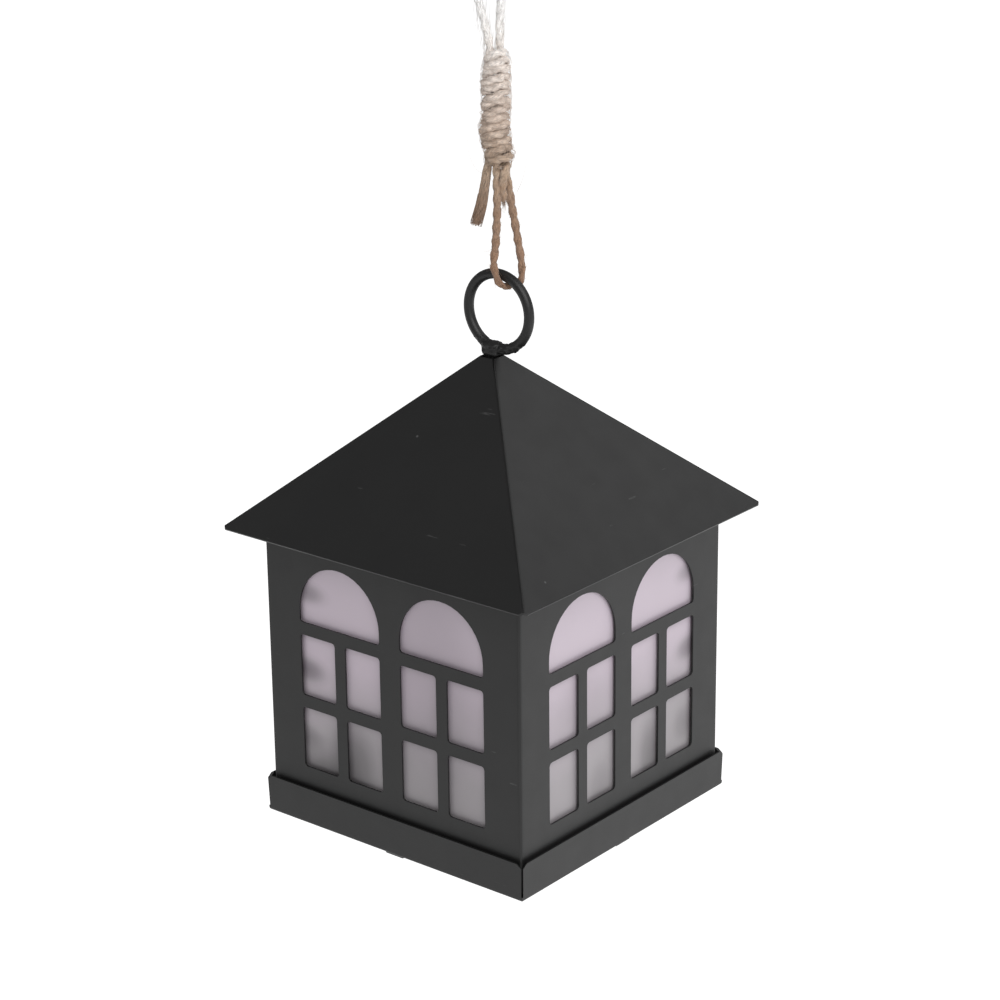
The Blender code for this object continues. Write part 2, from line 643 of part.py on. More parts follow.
def make_battery():
    """The rechargeable cell with its end contacts and spring."""
    nub_r, nub_h = 1.9, 1.0
    can = CELL_L - nub_h
    soft = 0.5
    plate_t = 0.4
    profile = [(0, CELL_L), (nub_r, CELL_L), (nub_r, can), (CELL_R - soft, can), (CELL_R, can - soft),
               (CELL_R, soft), (CELL_R - soft, 0), (0, 0)]
    right = BAY_CX + BAY_X / 2 - GAP - plate_t
    left = BAY_CX - BAY_X / 2 + GAP + plate_t
    cell_x = right - GAP - CELL_L
    lying = (0, math.radians(90), 0)
    turned("battery_cell", profile, (cell_x, CELL_Y, CELL_Z), "battery_sleeve", 28, turn=lying)
    for name, x in (("contact_plate_positive", right + plate_t / 2),
                    ("contact_plate_negative", left - plate_t / 2)):
        plate = box(name, (plate_t, 8.6, 8.0), (x, CELL_Y, CELL_Z), "bright_metal")
        join(plate, box(f"{name}_lug", (plate_t - 0.1, 2.4, 2.6), (x, CELL_Y + 2.0, CELL_Z + 4.2)))
    turns, wire_r, steps = 3.5, 0.25, 42
    start, end = left + GAP + wire_r, cell_x - GAP - wire_r
    coil = []
    for i in range(steps + 1):
        share = i / steps
        angle = 2 * math.pi * turns * share
        radius = 3.6 - 1.6 * share
        coil.append((start + (end - start) * share, CELL_Y + radius * math.cos(angle),
                     CELL_Z + radius * math.sin(angle)))
    tube("contact_spring", coil, wire_r, "bright_metal", 1)


def make_cover():
    """The battery cover, which swings down about its left end and is held by one screw."""
    middle, length = cover_span()
    pivot_in = 0.6
    pivot = bpy.data.objects.new("cover_pivot", None)
    pivot.location = Vector((middle - length / 2 + pivot_in, CELL_Y, COVER_Z + COVER_T / 2)) * MM
    PARTS.objects.link(pivot)
    cover = box("battery_cover", (length, BAY_Y + 1.4, COVER_T), (middle, CELL_Y, COVER_Z + COVER_T / 2),
                "black_plastic", bevel=0.2, segments=2)
    cut(cover, link_mesh("cover_hole", cylinder_mesh("cover_hole", SHANK_R + GAP, 6.0, 18),
                         at=(COVER_SCREW_X, CELL_Y, -3.0)))
    sink = cylinder_mesh("cover_sink", HEAD_R + 0.7, 1.9, 18, top_radius=SHANK_R + 0.2)
    cut(cover, link_mesh("cover_sink", sink, at=(COVER_SCREW_X, CELL_Y, COVER_Z - 0.35)))
    screw = make_screw("cover_screw", (COVER_SCREW_X, CELL_Y, COVER_Z + 0.05), 5.0)
    for piece in (cover, screw):
        piece.parent = pivot
        piece.location -= pivot.location


def make_board():
    """The circuit board with its controller, coil, switch and lamp."""
    z = BOARD_Z
    box("circuit_board", (BOARD_X, BOARD_Y, BOARD_T), (0, BOARD_CY, z + BOARD_T / 2), "circuit_board")
    chip_h = 1.6
    chip_at = (9.0, BOARD_CY + 1.0, z + BOARD_T + GAP + chip_h / 2)
    box("controller_chip", (5.0, 4.0, chip_h), chip_at, "black_plastic", bevel=0.2)
    profile = [(0, 8.0), (1.3, 7.4), (1.5, 6.6), (1.15, 5.6), (1.15, 2.4), (1.5, 1.4), (1.3, 0.6), (0, 0)]
    turned("inductor", profile, (2.0, BOARD_CY + 6.5, z + BOARD_T + GAP + 1.5), "battery_sleeve", 16,
           turn=(0, math.radians(90), 0))


def make_switch():
    """The slide switch under the board, and its knob that reaches down through the base plate."""
    body_h = 4.0
    z = BOARD_Z - GAP - body_h
    body = box("switch_body", (10.0, 5.0, body_h), (SWITCH_X, BOARD_CY, z + body_h / 2), "bright_metal")
    cut(body, box("knob_room", (6.4, 2.6, 3.6), (SWITCH_X, BOARD_CY, z)))
    knob_w = 3.2
    start = SWITCH_X - SWITCH_TRAVEL / 2
    low = 0.5
    high = z + 1.4
    box("switch_slider", (knob_w, 2.0, high - low), (start, BOARD_CY, (low + high) / 2), "black_plastic",
        bevel=0.2, segments=1)


def make_lamp():
    """A round-headed lamp standing through the housing's top on two legs from the board."""
    flange_z = HOUSING_TOP_Z - HOUSING_WALL - GAP - 1.0
    dome_z = 6.1
    angles = [math.radians(a) for a in range(0, 91, 15)]
    dome = [(LED_R * math.sin(a), dome_z + LED_R * math.cos(a)) for a in angles]
    profile = [*dome, (LED_R, 1.0), (LED_R + 0.35, 1.0), (LED_R + 0.35, 0.0), (0, 0)]
    turned("led_lamp", profile, (0, 0, flange_z), "led_epoxy", 24)
    for name, x in (("led_leg_anode", 1.27), ("led_leg_cathode", -1.27)):
        start = BOARD_Z + BOARD_T + GAP
        box(name, (0.5, 0.5, flange_z - GAP - start), (x, 0, (flange_z - GAP + start) / 2), "bright_metal")


# ---------------------------------------------------------------- solar panel
def make_solar_unit():
    """The panel in its frame on the rear slope, and the grommet for its leads."""
    turn = (-ROOF_SLOPE, 0, 0)
    rim_h = GAP + FRAME_FLOOR + GAP + PANEL_T + 0.2
    size_x, size_y = PANEL_X + 2 * (FRAME_RIM + GAP), PANEL_Y + 2 * (FRAME_RIM + GAP)
    outer = rounded_rectangle(size_x, size_y, 2.0)
    pocket = rounded_rectangle(PANEL_X + 2 * GAP, PANEL_Y + 2 * GAP, 0.8)
    height = rim_h - GAP
    frame = link_mesh("solar_frame", outline_mesh("solar_frame", [outer], height), "black_plastic",
                      roof_frame(PANEL_UP_SLOPE, GAP + height / 2), turn, smooth=True)
    add_bevel(frame, 0.5, 2, angle=60)
    deep = height - FRAME_FLOOR
    pocket_mesh = outline_mesh("panel_pocket", [pocket], 2 * deep)
    cut(frame, link_mesh("panel_pocket", pocket_mesh, at=roof_frame(PANEL_UP_SLOPE, rim_h), turn=turn))
    cut(frame, cylinder("frame_hole", 3.6, 6.0, roof_frame(HOLE_UP_SLOPE, -2.0), turn=turn, sides=20))
    panel_out = GAP + FRAME_FLOOR + GAP + PANEL_T / 2
    panel_mesh = outline_mesh("solar_panel", [rounded_rectangle(PANEL_X, PANEL_Y, 0.6)], PANEL_T)
    link_mesh("solar_panel", panel_mesh, "solar_cell", roof_frame(PANEL_UP_SLOPE, panel_out), turn)
    bore, neck, flange = 1.9, 2.7, 4.0
    under = -SHEET - GAP
    low = under - 1.0
    profile = [(bore, 0.9), (neck, 0.9), (neck, under), (flange, under), (flange, low), (bore, low)]
    turned("lead_grommet", profile, roof_frame(HOLE_UP_SLOPE, 0.0), "rubber", 20, turn=turn)


def make_leads():
    """Two leads from the panel down the rear left corner, behind the liner, to the circuit board."""
    lead_r = 0.55
    corner = BODY_W / 2 - SHEET
    for name, material, side in (("solar_lead_red", "red_lead", 1), ("solar_lead_black", "black_lead", -1)):
        off = 0.85 * side
        route = [
            roof_frame(HOLE_UP_SLOPE, 0.6, off),
            roof_frame(HOLE_UP_SLOPE, -1.5, off),
            roof_frame(HOLE_UP_SLOPE + 0.5 - off, -4.5, 0.5 * off - 1.5),
            (-12.0, 41.0 + off, ROOF_EAVE_Z + 7.0),
            (-30.0, 43.0 + off, ROOF_EAVE_Z + 3.5),
            (-corner + 4.6 + off, corner - 4.4 + off, ROOF_EAVE_Z + 0.4),
            (-corner + 3.2 + off, corner - 3.2 + off, LINER_Z1 - 4.0),
            (-corner + 3.2 + off, corner - 3.2 + off, 60.0),
            (-corner + 3.2 + off, corner - 3.2 + off, 25.0),
            (-corner + 3.4 + off, corner - 3.5 + off, LINER_Z0 + 2.0),
            (-corner + 4.8 + off, corner - 5.2 + off, FLOOR_TOP + 1.9),
            (-corner + 9.4 + off, corner - 10.4 + off, FLOOR_TOP + 1.3),
            (-36.0 + off, 34.0 + off, FLOOR_TOP + 1.3),
            (-22.0, 30.6 + off, FLOOR_TOP + 1.9),
            (LEAD_GATE_X - 3.0 + off, 29.0 + off, FLANGE_Z + 4.0),
            (LEAD_GATE_X + off, 25.5, FLANGE_Z + 4.2),
            (LEAD_GATE_X + off, 20.0, FLANGE_Z + 4.4),
            (LEAD_GATE_X + 1.5 * off, BOARD_CY + BOARD_Y / 2 - 2.0, BOARD_Z + BOARD_T + GAP + 1.2),
        ]
        tube(name, smooth_route(route, 3.2), lead_r, material, 1)
    aside, above = CELL_Y + 4.9, CELL_Z + 4.9
    for name, material, end, way in (("battery_lead_red", "red_lead", BAY_CX + BAY_X / 2 - 1.3, 1),
                                     ("battery_lead_black", "black_lead", BAY_CX - BAY_X / 2 + 1.3, -1)):
        notch_x = BAY_CX + 8.0 + 1.2 * way
        land = 6.0 + 1.6 * way
        route = [
            (end, CELL_Y + 3.9, CELL_Z + 4.7),
            (end - 2.5 * way, aside, above),
            (notch_x + 3.0 * way, aside, above),
            (notch_x + 0.4 * way, aside + 1.4, above + 0.5),
            (notch_x, aside + 4.4, above + 0.4),
            (land, BOARD_CY - BOARD_Y / 2 + 1.4, BOARD_Z + BOARD_T + 2.6),
            (land, BOARD_CY - BOARD_Y / 2 + 3.4, BOARD_Z + BOARD_T + GAP + lead_r + 0.1),
        ]
        tube(name, smooth_route(route, 1.6), lead_r, material, 1)


# ---------------------------------------------------------------- twine hanger
def wrap_points():
    """The twine's middle where it passes under the ring's top, from in front of the wire to behind it."""
    clear = WIRE_R + TWINE_R + GAP + 0.05
    points = []
    for i in range(5):
        around = math.radians(-90 + 45 * i)
        along = math.radians(8 + 6 * i)
        radius = RING_MAJOR_R - clear * math.cos(around)
        points.append(Vector((RING_X + radius * math.sin(along), clear * math.sin(around),
                              RING_Z + radius * math.cos(along))))
    return points


def make_hanger():
    """Jute twine looped through the ring, whipped above it and ending in a small loop to hang by."""
    low, whip_h, apart = 204.6, 34.4, 0.6
    high = low + apart + whip_h
    lower = [
        hanger_point(2.1, low, 3.3),
        hanger_point(2.15, 198.0, 3.5),
        hanger_point(2.05, 191.5, 3.8),
        hanger_point(1.6, 183.5, 4.4),
        hanger_point(0.95, 177.0, 5.2),
        *wrap_points(),
        hanger_point(9.2, 176.3, 2.6),
        hanger_point(8.0, 184.4, 1.5),
        hanger_point(6.7, 192.0, 0.7),
        hanger_point(5.8, 198.2, 0.4),
        hanger_point(4.7, low, 0.4),
    ]
    tube("twine_lower_loop", smooth_route(lower, 2.6), TWINE_R, "jute")
    tail = [
        hanger_point(-0.9, low, 1.8),
        hanger_point(-1.5, 199.5, 2.4),
        hanger_point(-2.6, 194.0, 2.8),
        hanger_point(-4.2, 188.6, 3.0),
    ]
    tube("twine_tail", smooth_route(tail, 2.6), TWINE_R, "jute")
    binding = [
        hanger_point(2.2, low + apart, 1.8),
        hanger_point(2.3, 222.0, 1.8),
        hanger_point(2.0, high, 1.8),
    ]
    tube("twine_binding", smooth_route(binding, 5.0), WHIP_R, "jute", 4)
    upper = [
        hanger_point(0.5, high + apart, 2.1),
        hanger_point(0.2, 243.0, 2.1),
        hanger_point(-1.1, 249.0, 2.3),
        hanger_point(-2.7, 255.0, 2.4),
        hanger_point(-3.7, 261.0, 2.3),
        hanger_point(-2.9, 266.2, 2.0),
        hanger_point(0.3, 268.6, 1.8),
        hanger_point(3.5, 266.2, 1.6),
        hanger_point(4.4, 261.0, 1.5),
        hanger_point(3.9, 255.0, 1.5),
        hanger_point(3.6, 249.0, 1.5),
        hanger_point(3.5, 243.0, 1.5),
        hanger_point(3.5, high + apart, 1.5),
    ]
    tube("twine_upper_loop", smooth_route(upper, 2.6), TWINE_R, "jute")


# ---------------------------------------------------------------- assembly
def build():
    make_body()
    make_tray()
    make_roof()
    make_ring()
    make_liner()
    make_base_plate()
    make_housing()
    make_gasket()
    for number, (x, y) in enumerate(screw_places(), 1):
        make_screw(f"unit_screw_{number}", (x, y, 0.3), 9.0)
    make_battery()
    make_board()
    make_lamp()
    make_solar_unit()
    make_leads()
    make_hanger()
    make_switch()
    make_cover()


build()
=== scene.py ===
"""Looks of the small hanging solar lantern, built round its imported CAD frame.

Lengths in the tables below are millimetres and are multiplied by MM where they are used. +Z is up, the
front is -Y, and everything is in the frame's own coordinates.
"""
import json
import math
import random

import bmesh
import bpy
from mathutils import Matrix, Vector, noise


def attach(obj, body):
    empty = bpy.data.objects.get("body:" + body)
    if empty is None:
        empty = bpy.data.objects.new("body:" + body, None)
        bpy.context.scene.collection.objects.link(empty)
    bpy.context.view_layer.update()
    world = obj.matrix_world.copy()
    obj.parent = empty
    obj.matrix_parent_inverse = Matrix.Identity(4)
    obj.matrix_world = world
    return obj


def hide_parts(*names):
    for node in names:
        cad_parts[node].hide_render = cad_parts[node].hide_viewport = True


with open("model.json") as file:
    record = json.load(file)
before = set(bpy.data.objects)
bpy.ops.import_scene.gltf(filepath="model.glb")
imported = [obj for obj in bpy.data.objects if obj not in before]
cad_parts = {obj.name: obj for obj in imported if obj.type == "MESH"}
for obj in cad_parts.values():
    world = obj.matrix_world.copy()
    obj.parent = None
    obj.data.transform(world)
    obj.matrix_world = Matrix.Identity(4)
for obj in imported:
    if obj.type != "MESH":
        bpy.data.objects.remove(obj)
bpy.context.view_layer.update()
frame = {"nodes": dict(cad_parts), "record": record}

MM = 0.001
TRAY_Z = 2.3
ROOT = "lantern"

# Camera
CAM_AZ, CAM_EL, CAM_ROLL = 39.325, 19.681, -0.673
CAM_DISTANCE = 870.455
CAM_TARGET = (0.675, 2.255, 102.538)
CAM_LENS = 101.734

# Floor, in metres
FLOOR_Z = -1.0
FLOOR_HALF = 40.0

# Twine
TWINE_R = 1.3
HANG_TURN = math.radians(39.3)
RING_X, RING_Z, RING_MAJOR_R, WIRE_R = 2.9, TRAY_Z + 161.4, 11.65, 1.65
WHIP_LOW, WHIP_HIGH = 205.2, 239.6


# Soft shadows on the film: (where, reach each way, depth)
FILM_SHADOWS = [
    ((-34.5, -47, 79.5), (11.0, 12, 5.0), 0.50), ((-35.0, -47, 54.0), (11.0, 12, 6.0), 0.60),
    ((-35.0, -47, 31.0), (9.0, 12, 6.0), 0.35), ((-17.0, -47, 26.0), (15.0, 12, 22.0), 0.62),
    ((16.0, -47, 60.0), (30.0, 12, 62.0), 0.26), ((-29.0, -47, 18.0), (18.0, 12, 16.0), 0.6),
    ((47, 35.0, 55.0), (12, 9.0, 6.0), 0.5), ((47, 35.0, 80.5), (12, 9.0, 5.0), 0.4),
    ((47, 15.0, 25.0), (12, 8.0, 18.0), 0.45), ((47, -10.0, 24.0), (12, 9.0, 12.0), 0.25),
    ((47, -20.0, 56.0), (12, 22.0, 16.0), 0.16), ((47, 33.0, 30.0), (12, 8.0, 9.0), 0.3),
    ((-20.0, 47, 30.0), (14.0, 12, 18.0), 0.4), ((-47, 18.0, 50.0), (12, 14.0, 24.0), 0.3),
]


# ---------------------------------------------------------------- camera, floor and light
def make_camera():
    az, el, roll = (math.radians(v) for v in (CAM_AZ, CAM_EL, CAM_ROLL))
    back = Vector((math.sin(az) * math.cos(el), -math.cos(az) * math.cos(el), math.sin(el)))
    right = Vector((math.cos(az), math.sin(az), 0))
    up = back.cross(right)
    across = math.cos(roll) * right + math.sin(roll) * up
    upward = math.cos(roll) * up - math.sin(roll) * right
    data = bpy.data.cameras.new("camera")
    data.sensor_width = 36
    data.lens = CAM_LENS
    data.clip_end = 20
    cam = bpy.data.objects.new("camera", data)
    bpy.context.scene.collection.objects.link(cam)
    place = Matrix((across, upward, back)).transposed().to_4x4()
    place.translation = (Vector(CAM_TARGET) + back * CAM_DISTANCE) * MM
    cam.matrix_world = place
    bpy.context.scene.camera = cam


def area_light(name, at, aim, size, power, colour=(1, 1, 1)):
    data = bpy.data.lights.new(name, "AREA")
    data.shape = "RECTANGLE"
    data.size, data.size_y = size
    data.energy = power
    data.color = colour
    lamp = bpy.data.objects.new(name, data)
    lamp.location = at
    lamp.rotation_mode = "QUATERNION"
    lamp.rotation_quaternion = (Vector(at) - Vector(aim)).to_track_quat("Z", "Y")
    bpy.context.scene.collection.objects.link(lamp)


def make_studio():
    """The lantern hangs well above a large pale floor that glows as a light, a little brighter towards the
    back.
    """
    mesh = bpy.data.meshes.new("floor")
    bm = bmesh.new()
    bmesh.ops.create_grid(bm, x_segments=2, y_segments=2, size=FLOOR_HALF)
    bm.to_mesh(mesh)
    bm.free()
    floor = bpy.data.objects.new("floor", mesh)
    floor.location.z = FLOOR_Z
    bpy.context.scene.collection.objects.link(floor)
    mat = bpy.data.materials.new("floor_paper_glowing")
    mat.use_nodes = True
    shader = mat.node_tree.nodes["Principled BSDF"]
    shader.inputs["Base Color"].default_value = (0.9, 0.9, 0.9, 1)
    shader.inputs["Roughness"].default_value = 0.9
    shader.inputs["Specular IOR Level"].default_value = 0.1
    # The floor glows: its emission lights the lantern from below and washes out its own shadow, rising
    # towards the back.
    shader.inputs["Emission Color"].default_value = (1, 1, 1, 1)
    nodes, links = mat.node_tree.nodes, mat.node_tree.links
    coords = nodes.new("ShaderNodeTexCoord")
    split = nodes.new("ShaderNodeSeparateXYZ")
    floor_glow = nodes.new("ShaderNodeMapRange")
    floor_glow.inputs["From Min"].default_value = -3.0
    floor_glow.inputs["From Max"].default_value = 2.0
    floor_glow.inputs["To Min"].default_value = 0.42
    floor_glow.inputs["To Max"].default_value = 0.95
    links.new(coords.outputs["Object"], split.inputs["Vector"])
    links.new(split.outputs["Y"], floor_glow.inputs["Value"])
    links.new(floor_glow.outputs["Result"], shader.inputs["Emission Strength"])
    mesh.materials.append(mat)
    world = bpy.data.worlds.new("studio")
    world.use_nodes = True
    world.node_tree.nodes["Background"].inputs["Color"].default_value = (1.0, 1.0, 1.0, 1)
    world.node_tree.nodes["Background"].inputs["Strength"].default_value = 0.16
    bpy.context.scene.world = world
    bpy.context.scene.view_settings.view_transform = "Standard"
    aim = (0, 0, 0.09)
    area_light("key", (1.45, -0.9, 1.55), aim, (2.0, 2.0), 40)
    area_light("back_right", (0.55, 1.5, 1.35), aim, (1.2, 1.2), 5)
    area_light("left_fill", (-1.6, -1.0, 1.5), aim, (1.2, 1.2), 1.2)


# ---------------------------------------------------------------- materials
class Look:
    """A Principled material with short helpers for its procedural detail."""

    def __init__(self, name, colour, roughness, metallic=0.0):
        self.mat = bpy.data.materials.new(name)
        self.mat.use_nodes = True
        self.mat.diffuse_color = (*colour, 1)
        self.nodes = self.mat.node_tree.nodes
        self.links = self.mat.node_tree.links
        self.shader = self.nodes["Principled BSDF"]
        self.set("Base Color", (*colour, 1))
        self.set("Roughness", roughness)
        self.set("Metallic", metallic)

    def set(self, socket, value):
        self.shader.inputs[socket].default_value = value

    def node(self, kind, **settings):
        made = self.nodes.new("ShaderNode" + kind)
        for key, value in settings.items():
            setattr(made, key, value)
        return made

    def link(self, out, into):
        self.links.new(out, into)

    def place(self, space="Object", scale=(1, 1, 1), turn=(0, 0, 0)):
        """Coordinates on the surface, in metres times scale."""
        coords = self.node("TexCoord")
        mapping = self.node("Mapping")
        mapping.inputs["Scale"].default_value = scale
        mapping.inputs["Rotation"].default_value = turn
        self.link(coords.outputs[space], mapping.inputs["Vector"])
        return mapping.outputs["Vector"]

    def noise(self, scale, detail=4.0, at=None, rough=0.55):
        made = self.node("TexNoise")
        made.inputs["Scale"].default_value = scale
        made.inputs["Detail"].default_value = detail
        made.inputs["Roughness"].default_value = rough
        self.link(at or self.place(), made.inputs["Vector"])
        return made.outputs["Fac"]

    def ramp(self, value, stops):
        """stops: (position, grey or colour)."""
        made = self.node("ValToRGB")
        ramp = made.color_ramp
        while len(ramp.elements) < len(stops):
            ramp.elements.new(0.5)
        for element, (position, shade) in zip(ramp.elements, stops):
            element.position = position
            element.color = (*shade, 1) if isinstance(shade, tuple) else (shade, shade, shade, 1)
        self.link(value, made.inputs["Fac"])
        return made.outputs["Color"]

    def spread(self, value, low, high):
        """value from 0..1 to low..high."""
        made = self.node("MapRange")
        made.inputs["To Min"].default_value = low
        made.inputs["To Max"].default_value = high
        self.link(value, made.inputs["Value"])
        return made.outputs["Result"]

    def math(self, operation, a, b=None):
        made = self.node("Math", operation=operation)
        for socket, value in zip(made.inputs, (a, b)):
            if value is None:
                continue
            if isinstance(value, (int, float)):
                socket.default_value = value
            else:
                self.link(value, socket)
        return made.outputs["Value"]

    def mix(self, share, a, b, blend="MIX"):
        made = self.node("Mix", data_type="RGBA", blend_type=blend)
        for socket, value in ((made.inputs[0], share), (made.inputs[6], a), (made.inputs[7], b)):
            if isinstance(value, tuple):
                socket.default_value = (*value, 1)
            elif isinstance(value, (int, float)):
                socket.default_value = value
            else:
                self.link(value, socket)
        return made.outputs[2]

    def bump(self, height, depth, strength=1.0):
        """Bump of the given depth in metres, on top of any bump there already."""
        made = self.node("Bump")
        made.inputs["Strength"].default_value = strength
        made.inputs["Distance"].default_value = depth
        self.link(height, made.inputs["Height"])
        before = self.shader.inputs["Normal"].links
        if before:
            self.link(before[0].from_socket, made.inputs["Normal"])
        self.link(made.outputs["Normal"], self.shader.inputs["Normal"])

    def xyz(self, at=None):
        made = self.node("SeparateXYZ")
        self.link(at or self.place(), made.inputs["Vector"])
        return made.outputs


def powder_coat(name="powder_coat", base=0.011, rough=0.46):
    """Satin black powder coat with its fine orange peel, handling scuffs and dust."""
    look = Look(name, (base, base, base * 1.02), rough)
    look.set("IOR", 1.5)
    peel = look.noise(1500, 3)
    fine = look.noise(5200, 2)
    cloud = look.noise(26, 4)
    patch = look.noise(120, 5)
    tone = look.ramp(cloud, [(0.3, (base * 0.9, base * 0.9, base * 0.92)), (0.7, (base * 1.18,) * 3)])
    dust = look.node("TexVoronoi")
    dust.inputs["Scale"].default_value = 62
    look.link(look.place(), dust.inputs["Vector"])
    speck = look.ramp(dust.outputs["Distance"], [(0.0, 1.0), (0.018, 0.8), (0.03, 0.0)])
    scratch_at = look.place(scale=(60, 60, 900), turn=(0.5, 0.9, 0.3))
    scratch = look.noise(1.0, 2, at=scratch_at)
    scratches = look.math("MULTIPLY", look.ramp(scratch, [(0.715, 0.0), (0.73, 1.0)]),
                          look.ramp(patch, [(0.56, 0.0), (0.62, 1.0)]))
    marks = look.math("MAXIMUM", look.math("MULTIPLY", speck, 0.6), look.math("MULTIPLY", scratches, 0.25))
    look.link(look.mix(marks, tone, (0.17, 0.17, 0.17)), look.shader.inputs["Base Color"])
    worn = look.math("ADD", look.spread(patch, rough - 0.05, rough + 0.07), look.math("MULTIPLY", marks, 0.2))
    look.link(worn, look.shader.inputs["Roughness"])
    look.bump(peel, 0.000016, 0.5)
    look.bump(fine, 0.000005, 0.5)
    return look


def frosted_film():
    """Frosted lilac-grey film with painted shade that darkens it low down, and painted soft shadows of what
    is behind it.
    """
    look = Look("frosted_film", (0.55, 0.49, 0.55), 0.42)
    # Painted shade: the film's colour darkens towards the bottom, where the dark inside shows through it.
    height = look.node("MapRange")
    height.inputs["From Min"].default_value = 0.012
    height.inputs["From Max"].default_value = 0.092
    look.link(look.xyz()[2], height.inputs["Value"])
    cloud = look.math("MULTIPLY", look.math("SUBTRACT", look.noise(30, 3), 0.5), 0.30)
    tone = look.ramp(look.math("ADD", height.outputs["Result"], cloud), [
        (0.0, (0.30, 0.282, 0.292)), (0.28, (0.37, 0.342, 0.362)),
        (0.6, (0.56, 0.485, 0.55)), (1.0, (0.64, 0.555, 0.63))])
    shade = 1.0
    for at, reach, depth in FILM_SHADOWS:
        fade = look.node("TexGradient", gradient_type="SPHERICAL")
        near = look.place(scale=tuple(1 / (r * MM) for r in reach))
        near.node.inputs["Location"].default_value = tuple(-c / r for c, r in zip(at, reach))
        look.link(near, fade.inputs["Vector"])
        soft = look.ramp(fade.outputs["Fac"], [(0.0, 0.0), (0.25, 0.16), (0.6, 0.75), (0.9, 1.0)])
        shade = look.math("MULTIPLY", shade, look.math("SUBTRACT", 1.0, look.math("MULTIPLY", soft, depth)))
    look.link(look.mix(1.0, tone, shade, "MULTIPLY"), look.shader.inputs["Base Color"])
    grain = look.noise(2600, 3)
    look.link(look.spread(grain, 0.36, 0.5), look.shader.inputs["Roughness"])
    look.bump(grain, 0.00001, 0.35)
    look.bump(look.noise(18, 2), 0.0012, 0.3)
    look.set("Coat Weight", 0.12)
    look.set("Coat Roughness", 0.35)
    return look


def moulded_plastic(name, base, rough=0.5):
    look = Look(name, base, rough)
    grain = look.noise(1900, 4)
    look.bump(grain, 0.00003, 0.5)
    cloud = look.noise(45, 4)
    dark = tuple(c * 0.85 for c in base)
    pale = tuple(min(1.0, c * 1.25 + 0.004) for c in base)
    look.link(look.ramp(cloud, [(0.3, dark), (0.7, pale)]), look.shader.inputs["Base Color"])
    look.link(look.spread(look.noise(160, 4), rough - 0.08, rough + 0.1), look.shader.inputs["Roughness"])
    return look


def soft_rubber():
    look = Look("rubber_black", (0.02, 0.02, 0.02), 0.75)
    look.link(look.ramp(look.noise(300, 4), [(0.3, 0.014), (0.7, 0.032)]), look.shader.inputs["Base Color"])
    look.bump(look.noise(2400, 3), 0.00002, 0.6)
    return look


def plated_steel():
    look = Look("plated_steel", (0.56, 0.56, 0.54), 0.3, 1.0)
    look.link(look.ramp(look.noise(240, 5), [(0.3, (0.44, 0.44, 0.43)), (0.7, (0.64, 0.64, 0.62))]),
              look.shader.inputs["Base Color"])
    look.link(look.spread(look.noise(900, 4), 0.22, 0.42), look.shader.inputs["Roughness"])
    look.bump(look.noise(3000, 2), 0.000006, 0.5)
    return look


def solar_cells():
    """Dark blue cells under clear resin, with fine fingers and two busbars."""
    look = Look("solar_cells", (0.012, 0.02, 0.06), 0.16)
    at = look.place(turn=(math.atan2(53.9, 59.4), 0, 0))
    x, y, _ = look.xyz(at)

    def lines(value, pitch, width, shift=0.0):
        turns = look.math("FRACT", look.math("ADD", look.math("DIVIDE", value, pitch), shift))
        away = look.math("ABSOLUTE", look.math("SUBTRACT", turns, 0.5))
        return look.math("LESS_THAN", away, width / pitch / 2)

    fingers = lines(x, 0.0014, 0.00012)
    bars = lines(y, 0.0075, 0.0007)
    gaps = lines(x, 0.009, 0.00045, 0.5)
    grain = look.node("TexVoronoi")
    grain.inputs["Scale"].default_value = 420
    look.link(look.place(), grain.inputs["Vector"])
    crystal = look.ramp(grain.outputs["Color"], [(0.2, (0.006, 0.012, 0.045)), (0.8, (0.02, 0.034, 0.105))])
    silver = look.math("MAXIMUM", look.math("MULTIPLY", fingers, 0.35), look.math("MULTIPLY", bars, 0.8))
    cells = look.mix(silver, crystal, (0.45, 0.46, 0.48))
    look.link(look.mix(look.math("MULTIPLY", gaps, 0.9), cells, (0.01, 0.012, 0.02)),
              look.shader.inputs["Base Color"])
    look.set("Coat Weight", 1.0)
    look.set("Coat Roughness", 0.05)
    look.link(look.spread(look.noise(60, 3), 0.12, 0.26), look.shader.inputs["Roughness"])
    look.bump(look.noise(70, 2), 0.00008, 0.3)
    return look


def printed_board():
    look = Look("printed_board", (0.02, 0.16, 0.07), 0.32)
    pads = look.node("TexVoronoi", feature="F1")
    pads.inputs["Scale"].default_value = 330
    look.link(look.place(), pads.inputs["Vector"])
    copper = look.ramp(pads.outputs["Distance"], [(0.10, 1.0), (0.14, 0.0)])
    brick = look.node("TexBrick")
    brick.inputs["Scale"].default_value = 150
    look.link(look.place(), brick.inputs["Vector"])
    tracks = look.math("MULTIPLY", brick.outputs["Fac"], 0.5)
    mask = look.mix(tracks, (0.012, 0.13, 0.055), (0.03, 0.24, 0.10))
    look.link(look.mix(copper, mask, (0.55, 0.53, 0.5)), look.shader.inputs["Base Color"])
    look.bump(look.noise(900, 3), 0.00002, 0.4)
    return look


def shrink_sleeve():
    look = Look("shrink_sleeve", (0.05, 0.26, 0.11), 0.3)
    look.link(look.ramp(look.noise(160, 4), [(0.3, (0.04, 0.22, 0.09)), (0.7, (0.07, 0.33, 0.14))]),
              look.shader.inputs["Base Color"])
    look.bump(look.noise(260, 3), 0.00006, 0.4)
    return look


def lamp_epoxy():
    look = Look("lamp_epoxy", (0.85, 0.80, 0.62), 0.08)
    look.set("Transmission Weight", 0.55)
    look.set("IOR", 1.5)
    look.link(look.ramp(look.noise(300, 3), [(0.35, (0.78, 0.72, 0.5)), (0.65, (0.9, 0.86, 0.7))]),
              look.shader.inputs["Base Color"])
    look.bump(look.noise(500, 2), 0.00002, 0.3)
    return look


